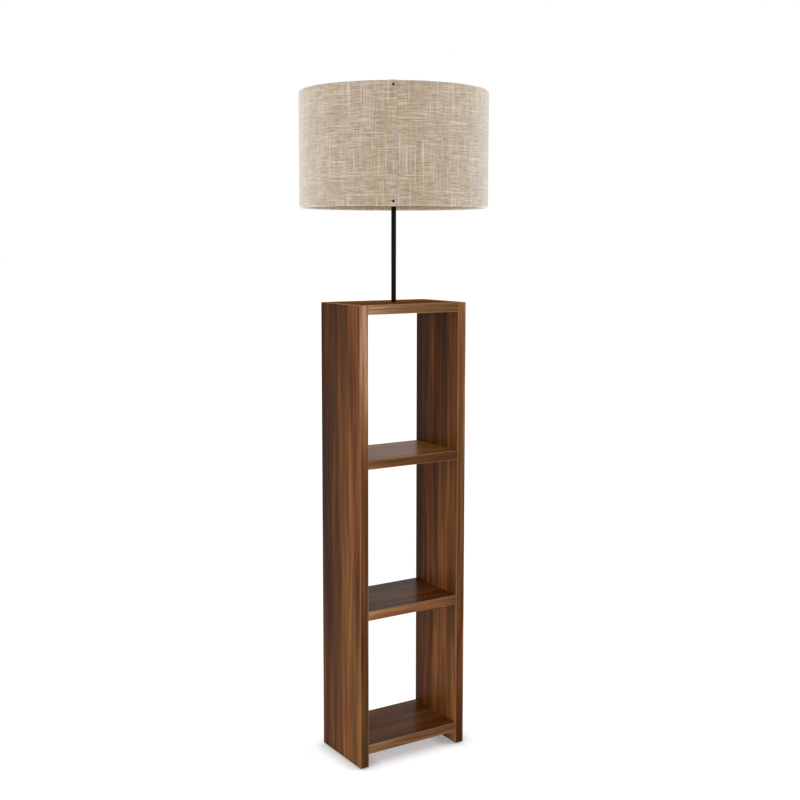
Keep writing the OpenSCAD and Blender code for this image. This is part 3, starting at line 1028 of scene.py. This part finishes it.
@dataclass
class Lampholder(SubAssembly):
    """The E27 lampholder: cap, threaded body, contacts and ring nut.

    Attributes:
        bore_mm: radius of the body's bore.
        spigot_mm: radius and height of the spigot inside the cap.
        flange_mm: radius and height of the shoulder that carries the shade.
        skirt_mm: radius of the skirt's thread crests.
        skirt_depth: half the depth of the skirt's thread.
        skirt_pitch: pitch of the skirt's thread.
        shell_mm: radius of the screw shell, at the middle of its sheet.
        shell_wall: thickness of that sheet.
        shell_depth: half the depth of the E27 thread.
        shell_pitch: pitch of the E27 thread.
    """

    bore_mm: float = 14.25
    spigot_mm: tuple[float, float] = (17.6, 6.0)
    flange_mm: tuple[float, float] = (23.0, 3.0)
    skirt_mm: float = 19.7
    skirt_depth: float = 0.35
    skirt_pitch: float = 2.5
    shell_mm: float = 13.68
    shell_wall: float = 0.3
    shell_depth: float = 0.38
    shell_pitch: float = 3.629

    def threaded_body(self) -> bpy.types.Object:
        """Body with a shoulder and a skirt whose thread runs up to a rounded lip.

        Returns:
            The body as a mesh object.
        """
        low, high = (corner.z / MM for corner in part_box("holder_body"))
        (spigot, rise), (flange, thickness) = self.spigot_mm, self.flange_mm
        foot, shoulder = low + rise, low + rise + thickness
        crest = self.skirt_mm - self.skirt_depth
        bevel, chamfer, run_out, run_in, lip = 0.4, 0.5, 1.5, 2.5, 2.2
        # How far the rounded lip's points lie back from the crests and below the top
        rounding = ((0.3, 1.2), (0.9, 0.2), (1.4, 0.0))
        outline = [
            (self.bore_mm, low, 0.0),
            (spigot, low, 0.0),
            (spigot, foot, 0.0),
            (flange - bevel, foot, 0.0),
            (flange, foot + bevel, 0.0),
            (flange, shoulder - bevel, 0.0),
            (flange - bevel, shoulder, 0.0),
            (crest, shoulder, 0.0),
            (crest, shoulder + run_out, 0.0),
            (crest, shoulder + run_in, 1.0),
            (crest, high - lip, 1.0),
            *((crest - back, high - down, 0.0) for back, down in rounding),
            (self.bore_mm + chamfer, high, 0.0),
            (self.bore_mm, high - chamfer, 0.0),
        ]
        shell = ThreadedShell("threaded_holder_body", outline, self.skirt_pitch, self.skirt_depth)
        return shell.build()

    def screw_shell(self) -> bpy.types.Object:
        """Thin shell with the E27 thread rolled into it, and a flared lip.

        Returns:
            The shell as a mesh object.
        """
        low, high = (corner.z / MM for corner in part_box("holder_sleeve"))
        inner, outer = (self.shell_mm + side * self.shell_wall / 2 for side in (-1, 1))
        flare, run_in, thread = 0.1, 1.0, 2.5
        outline = [
            (inner, low, 0.0),
            (outer, low, 0.0),
            (outer, low + run_in, 0.0),
            (outer, low + thread, 1.0),
            (outer, high - thread, 1.0),
            (outer + flare, high, 0.0),
            (inner + flare, high, 0.0),
            (inner, high - thread, 1.0),
            (inner, low + thread, 1.0),
            (inner, low + run_in, 0.0),
        ]
        shell = ThreadedShell("rolled_holder_shell", outline, self.shell_pitch, self.shell_depth)
        return shell.build()

    def dress_all(self) -> None:
        """Dresses the CAD parts and adds the threaded ones."""
        self.dress_nodes(PHENOLIC, "holder_cap", "shade_ring_nut")
        self.dress_nodes(PORCELAIN, "holder_insert")
        self.dress_nodes(BRASS, "center_contact", "terminal_screws")
        body, shell = self.threaded_body(), self.screw_shell()
        self.add_piece(body, PHENOLIC, Body.STAND, "black_plastic", "holder_body")
        self.add_piece(shell, ROLLED, Body.STAND, "nickel_shell", "holder_sleeve")


@dataclass
class ScrewBulb(SubAssembly):
    """The opal bulb with its rolled E27 cap.

    Attributes:
        pitch: pitch of the E27 thread.
        crest_mm: radius of the thread's crests.
        depth: half the thread's depth.
        wall: thickness of the rolled sheet.
        seat_mm: radius at which the cap's foot holds the insulator.
    """

    pitch: float = 3.629
    crest_mm: float = 13.05
    depth: float = 0.42
    wall: float = 0.3
    seat_mm: float = 8.2

    def rolled_cap(self) -> bpy.types.Object:
        """Cap: a drawn rim over the insulator, four turns of thread and a plain skirt.

        Returns:
            The cap as a mesh object.
        """
        low, high = (corner.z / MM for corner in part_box("bulb_cap"))
        middle = self.crest_mm - self.depth
        skirt = middle + 0.3
        foot, top = low + 2.6, high - 6.0
        # Radius and height over the rim of the drawn foot's bend, outside and inside
        (bend, rise), (inner_bend, inner_rise) = (11.2, 0.35), (11.0, 0.75)
        outline = [
            (self.seat_mm, low, 0.0),
            (self.seat_mm + 1.2, low, 0.0),
            (bend, low + rise, 0.0),
            (middle, foot - 0.9, 0.0),
            (middle, foot, 1.0),
            (middle, top, 1.0),
            (skirt, top + 1.4, 0.0),
            (skirt, high - 0.3, 0.0),
            (skirt - 0.15, high, 0.0),
            (skirt - self.wall, high, 0.0),
            (skirt - self.wall, top + 1.6, 0.0),
            (middle - self.wall, top, 1.0),
            (middle - self.wall, foot, 1.0),
            (middle - self.wall - 0.2, foot - 0.8, 0.0),
            (inner_bend, low + inner_rise, 0.0),
            (self.seat_mm, low + 0.4, 0.0),
        ]
        return ThreadedShell("rolled_bulb_cap", outline, self.pitch, self.depth).build()

    def dress_all(self) -> None:
        """Dresses glass, insulator and contacts, and adds the rolled cap."""
        self.dress_nodes(OPAL, "bulb_glass")
        self.dress_nodes(VITRITE, "bulb_insulator")
        self.dress_nodes(BRASS, "bulb_eyelet")
        self.dress_nodes(STEM_GLASS, "bulb_stem")
        self.dress_nodes(PHOSPHOR, "bulb_filaments")
        self.add_piece(self.rolled_cap(), ROLLED, Body.BULB, "nickel_shell", "bulb_cap")


@dataclass
class DrumShade(SubAssembly):
    """Drum shade: linen on styrene, rolled over a wire ring at each rim.

    The cloth is one sheet. Its section is carried round the drum, starts under
    the lapped seam, and climbs by one thickness where its end lies over its
    start.

    Attributes:
        cloth_mm: thickness of the cloth.
        lap_mm: width of the lapped seam.
        climb_mm: length over which the cloth's end climbs onto its start.
        gap_mm: gap between the two layers of the seam.
        seam_deg: direction of the seam's middle, counted from +X.
        roll_mm: radius of the rolled rims, at the middle of the cloth.
        roll_deg: how far the cloth goes round each wire.
        arm_degs: directions of the carrier's arms, where the roll is notched.
        notch_mm: half the width of a notch.
        notch_deg: how much less far the cloth goes round the wire in a notch.
    """

    cloth_mm: float = 0.8
    lap_mm: float = 14.0
    climb_mm: float = 5.0
    gap_mm: float = 0.03
    seam_deg: float = 237.5
    roll_mm: float = 4.4
    roll_deg: float = 290.0
    arm_degs: tuple[float, ...] = (57.5, 177.5, 297.5)
    notch_mm: float = 5.0
    notch_deg: float = 160.0

    def measure(self) -> None:
        """Reads the drum's radius and rims from the frame."""
        lowest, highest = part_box("shade_fabric")
        self.radius = highest.x / MM - self.cloth_mm / 2
        self.rims = (lowest.z / MM, highest.z / MM)

    def sheet_size(self) -> tuple[float, float]:
        """Flat size of the sheet, with its turned-in edges.

        Returns:
            Width and height in mm.
        """
        width = 2 * math.pi * self.radius + self.lap_mm
        wall = self.rims[1] - self.rims[0] - 2 * self.roll_mm - self.cloth_mm
        return width, wall + 2 * self.roll_mm * math.radians(self.roll_deg)

    def section(
        self, upper_deg: np.ndarray, lower_deg: np.ndarray
    ) -> tuple[np.ndarray, np.ndarray, np.ndarray]:
        """Middle line of the cloth from its lower raw edge to its upper one.

        Each roll is an arc r = c + roll cos(t), z = c + roll sin(t) that ends
        tangent to the straight wall, where t = 0.

        Args:
            upper_deg: how far the upper roll goes round, one value per column.
            lower_deg: the same for the lower roll.

        Returns:
            Radius, height and the outward normal's angle t, with one row per
            point of the section and one column per place round the drum.
        """
        arc_points, wall_points = 24, 14
        share = np.linspace(0.0, 1.0, arc_points)[:, None]
        upper = np.radians(share * upper_deg)
        lower = -np.radians((1.0 - share) * lower_deg)
        edge = self.roll_mm + self.cloth_mm / 2
        low_z, high_z = self.rims[0] + edge, self.rims[1] - edge
        wall_z = np.linspace(low_z, high_z, wall_points + 2)[1:-1, None] + 0.0 * upper_deg
        turn = np.concatenate([lower, 0.0 * wall_z, upper])
        centre = np.concatenate([0.0 * lower + low_z, wall_z, 0.0 * upper + high_z])
        radius = self.radius - self.roll_mm * (1.0 - np.cos(turn))
        return radius, centre + self.roll_mm * np.sin(turn), turn

    def path(self) -> tuple[np.ndarray, np.ndarray]:
        """Places along the sheet's width, closer together where the seam bends.

        Returns:
            Places in mm, and the direction of each from the axis in radians.
        """
        over = self.sheet_size()[0] - self.lap_mm
        bend = over - self.climb_mm - 1.0
        stretches = ((0.0, self.lap_mm, 8), (self.lap_mm, bend, 420), (bend, over, 10))
        places = [np.linspace(*stretch, endpoint=False) for stretch in stretches]
        places = np.concatenate([*places, np.linspace(over, over + self.lap_mm, 9)])
        start = math.radians(self.seam_deg) - self.lap_mm / 2 / self.radius
        return places, start + places / self.radius

    def cloth(self) -> bpy.types.Object:
        """Moves the section out by half a thickness to each side, and closes the edges.

        Returns:
            The cloth as a mesh object, with the flat sheet as its UV map.
        """
        places, angle = self.path()
        width, height_mm = self.sheet_size()
        arms = np.radians(np.array(self.arm_degs))[:, None]
        away = np.abs((angle - arms + math.pi) % (2 * math.pi) - math.pi).min(axis=0)
        notch = 1.0 - smooth_step(away * self.radius, self.notch_mm - 1.0, self.notch_mm)
        full = np.full_like(angle, self.roll_deg)
        radius, height, turn = self.section(full, full - self.notch_deg * notch)
        over = width - self.lap_mm
        lift = smooth_step(places, over - self.climb_mm, over) * (self.cloth_mm + self.gap_mm)
        sides = []
        for half in (self.cloth_mm / 2, -self.cloth_mm / 2):
            out = lift + half
            r, z = radius + out * np.cos(turn), height + out * np.sin(turn)
            sides.append(revolved(r, z, angle))
        rows, columns = radius.shape
        count = rows * columns
        outer = grid_faces(rows, columns, closed=False)
        inner = outer[:, ::-1] + count
        number = np.arange(count).reshape(rows, columns)
        edges = [number[0], number[:, -1], number[-1][::-1], number[::-1, 0]]
        rims = [np.stack([e[:-1], e[1:], e[1:] + count, e[:-1] + count], axis=1) for e in edges]
        faces = np.concatenate([outer, inner, *rims])
        climbed = np.cumsum(np.hypot(np.diff(radius[:, 0]), np.diff(height[:, 0])))
        up = np.concatenate([[0.0], climbed]) / height_mm
        across, up = np.meshgrid(places / width, up)
        uv = np.stack([across.ravel(), up.ravel()], axis=1)
        points, uvs = np.concatenate(sides), np.concatenate([uv, uv])
        return make_object("linen_drum", points, faces, uvs)

    def dress_all(self) -> None:
        """Adds the cloth and dresses liner, wires and studs."""
        self.measure()
        cloth = self.cloth()
        self.add_piece(cloth, LINEN, Body.SHADE, "shade_linen", "shade_fabric")
        self.dress_nodes(STYRENE, "shade_liner")
        self.dress_nodes(POWDER_WHITE, "top_wire_ring", "shade_carrier")
        self.dress_nodes(BLACKENED, "seam_studs")


# --- Studio -----------------------------------------------------------------


@dataclass
class SoftLight:
    """A wide, far light: parallel light whose source looks as large as a softbox.

    Attributes:
        name: name of the light.
        azimuth: direction that it stands in, 0 in front and 90 at the right.
        elevation: height of that direction above the horizon, in degrees.
        spread: how large the light looks, in degrees.
        strength: irradiance in W/m2.
    """

    name: str
    azimuth: float
    elevation: float
    spread: float
    strength: float

    def on_floor(self) -> float:
        """Radiance that a perfectly white floor gets from it."""
        return self.strength * math.sin(math.radians(self.elevation)) / math.pi

    def build(self) -> None:
        """Adds the light and turns it towards the lamp."""
        data = bpy.data.lights.new(self.name, "SUN")
        data.angle = math.radians(self.spread)
        data.energy = self.strength
        light = bpy.data.objects.new(self.name, data)
        a, e = math.radians(self.azimuth), math.radians(self.elevation)
        back = Vector((math.sin(a) * math.cos(e), -math.cos(a) * math.cos(e), math.sin(e)))
        light.location = back * 3.0
        light.rotation_mode = "QUATERNION"
        light.rotation_quaternion = (-back).to_track_quat("-Z", "Y")
        bpy.context.scene.collection.objects.link(light)
        LOG.info("%s: %.2f W/m2", self.name, self.strength)


@dataclass
class Studio:
    """White studio: floor, walls that light from both sides, and soft lights.

    Attributes:
        floor_side: side of the square floor in metres.
        floor_shade: hex colour of the floor's paper.
        open_floor: brightness of the floor where nothing shades it.
        contact: reach of the painted contact shadow round the feet, in metres.
        openness: how open the floor is where that shadow is full, and where it ends.
        kept: share of the floor's own brightness that is left in the full painted contact shadow.
        ambient: strength of the surroundings in front and behind, as a light.
        sides: how much stronger the walls at both sides are.
        side_azimuth: direction of the right wall, 0 in front and 90 at the right.
        lights: the soft lights.
    """

    floor_side: float = 120.0
    floor_shade: str = "#b4b4b5"
    open_floor: float = 1.1
    contact: float = 0.038
    openness: tuple[float, float] = (0.4, 0.95)
    kept: float = 0.35
    ambient: float = 0.02
    sides: float = 2.4
    side_azimuth: float = 57.4
    lights: tuple[SoftLight, ...] = (
        SoftLight("light_key", -55.0, 35.0, 45.0, 0.30),
        SoftLight("light_front", -32.6, 3.0, 8.0, 0.38),
    )

    def lift(self) -> float:
        """What the lit floor lacks to its open brightness, so that only its shadow shows.

        The side walls give a floor a quarter of their strength, because the mean
        of cos^2 to the side over a cosine-weighted hemisphere is 1/4.
        """
        lit = self.ambient + self.sides / 4 + sum(light.on_floor() for light in self.lights)
        return self.open_floor - linear(self.floor_shade)[0] * lit

    def seen(self, tree: Tree) -> Signal:
        """Tells apart the rays that show the surroundings: lens, gloss and glass.

        Args:
            tree: node tree to add to.

        Returns:
            1 for such rays and 0 for light that falls on a piece.
        """
        path = add_node(tree, "LightPath").outputs
        shown: Signal = path["Is Camera Ray"]
        for name in ("Is Glossy Ray", "Is Transmission Ray"):
            shown = add_node(tree, "Math", {0: shown, 1: path[name]}, operation="MAXIMUM")
        return shown

    def floor(self) -> None:
        """Pale paper floor that keeps the lamp's shadow, with a painted contact shadow round the
        feet, and is clear from below.
        """
        material = bpy.data.materials.new("paper_backdrop")
        tree = empty_tree(material)
        paper = add_node(tree, "BsdfDiffuse", {"Color": linear(self.floor_shade)})
        # Painted contact shadow: ambient occlusion dims the floor's own glow near the feet
        clearance = add_node(tree, "AmbientOcclusion", {"Distance": self.contact}, samples=16)
        bounds = {"From Min": self.openness[0], "From Max": self.openness[1]}
        bounds |= {"To Min": self.kept * self.lift(), "To Max": self.lift()}
        own = add_node(tree, "MapRange", {"Value": clearance.outputs["AO"], **bounds})
        own = add_node(tree, "Emission", {"Strength": own})
        front = add_node(tree, "AddShader", {0: paper, 1: own})
        below = add_node(tree, "NewGeometry").outputs["Backfacing"]
        clear = add_node(tree, "BsdfTransparent")
        both = add_node(tree, "MixShader", {0: below, 1: front, 2: clear})
        add_node(tree, "OutputMaterial", {"Surface": both})
        half = self.floor_side / 2
        corners = [(-half, -half, 0), (half, -half, 0), (half, half, 0), (-half, half, 0)]
        mesh = bpy.data.meshes.new("floor")
        mesh.from_pydata(corners, [], [(0, 1, 2, 3)])
        mesh.materials.append(material)
        floor = bpy.data.objects.new("floor", mesh)
        bpy.context.scene.collection.objects.link(floor)

    def surroundings(self) -> None:
        """White to the eye and in reflections; as a light, brighter to both sides.

        The light from direction d is ambient + sides * (d . side)^2.
        """
        world = bpy.data.worlds.new("studio")
        tree = empty_tree(world)
        turn = math.radians(self.side_azimuth)
        side = (math.sin(turn), -math.cos(turn), 0.0)
        towards = add_node(tree, "TexCoord").outputs["Generated"]
        along = add_node(tree, "VectorMath", {0: towards, 1: side}, operation="DOT_PRODUCT")
        squared = add_node(tree, "Math", {0: along, 1: along}, operation="MULTIPLY")
        values = {0: squared, 1: self.sides, 2: self.ambient}
        wall = add_node(tree, "Math", values, operation="MULTIPLY_ADD")
        strength = add_node(tree, "Mix", {"Factor": self.seen(tree), "A": wall, "B": 1.0})
        white = (1.0, 1.0, 1.0, 1.0)
        light = add_node(tree, "Background", {"Color": white, "Strength": strength})
        add_node(tree, "OutputWorld", {"Surface": light})
        bpy.context.scene.world = world

    def build(self) -> None:
        """Adds floor, surroundings and lights."""
        self.floor()
        self.surroundings()
        for light in self.lights:
            light.build()
        bpy.context.scene.view_settings.view_transform = "Standard"


@dataclass
class StudioCamera:
    """The camera, from the left front and a little above the unit's top.

    Attributes:
        yaw: degrees that it looks to the right of +Y.
        pitch: degrees that it looks down.
        roll: degrees that it is turned about its own axis.
        distance: metres from the lamp's axis, over the floor.
        eye: height in metres.
        offset: metres to its right of the line through the lamp's axis.
        focal_px: focal length in pixels of the picture.
        picture_px: side of the square picture in pixels.
        centre_row: row of the picture that the optical axis meets.
        sensor_mm: width of the sensor.
        reach: nearest and farthest distance that it sees, in metres.
    """

    yaw: float = 32.635
    pitch: float = 6.327
    roll: float = 0.0704
    distance: float = 2.4225
    eye: float = 1.0601
    offset: float = 0.01317
    focal_px: float = 1188.4
    picture_px: float = 800.0
    centre_row: float = 372.0
    sensor_mm: float = 36.0
    reach: tuple[float, float] = (0.05, 60.0)

    def build(self) -> None:
        """Adds the camera; its three axes are worked out from yaw, pitch and roll."""
        data = bpy.data.cameras.new("studio_camera")
        data.sensor_width = self.sensor_mm
        data.lens = self.sensor_mm * self.focal_px / self.picture_px
        data.shift_y = (self.centre_row - self.picture_px / 2) / self.picture_px
        data.clip_start, data.clip_end = self.reach
        camera = bpy.data.objects.new("studio_camera", data)
        yaw, pitch, roll = (math.radians(a) for a in (self.yaw, self.pitch, self.roll))
        ahead = Vector(
            (math.sin(yaw) * math.cos(pitch), math.cos(yaw) * math.cos(pitch), -math.sin(pitch))
        )
        level = Vector((math.cos(yaw), -math.sin(yaw), 0.0))
        up = level.cross(ahead)
        right = math.cos(roll) * level + math.sin(roll) * up
        above = -math.sin(roll) * level + math.cos(roll) * up
        place = Vector((-math.sin(yaw), -math.cos(yaw), 0.0)) * self.distance
        place += level * self.offset + Vector((0.0, 0.0, self.eye))
        matrix = Matrix((right, above, -ahead)).transposed().to_4x4()
        matrix.translation = place
        camera.matrix_world = matrix
        bpy.context.scene.collection.objects.link(camera)
        bpy.context.scene.camera = camera


def main() -> None:
    """Loads the frame, builds camera and studio, and dresses every sub-assembly."""
    logging.basicConfig(level=logging.INFO, format="%(name)s %(message)s")
    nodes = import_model()["nodes"]
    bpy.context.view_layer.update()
    StudioCamera().build()
    Studio().build()
    dressed: list[str] = []
    for group in (ShelfUnit, TubeMast, Lampholder, ScrewBulb, DrumShade):
        assembly = group(nodes)
        assembly.dress_all()
        dressed += assembly.dressed
    LOG.info("%d pieces dressed", len(dressed))


if __name__ == "__main__":
    main()
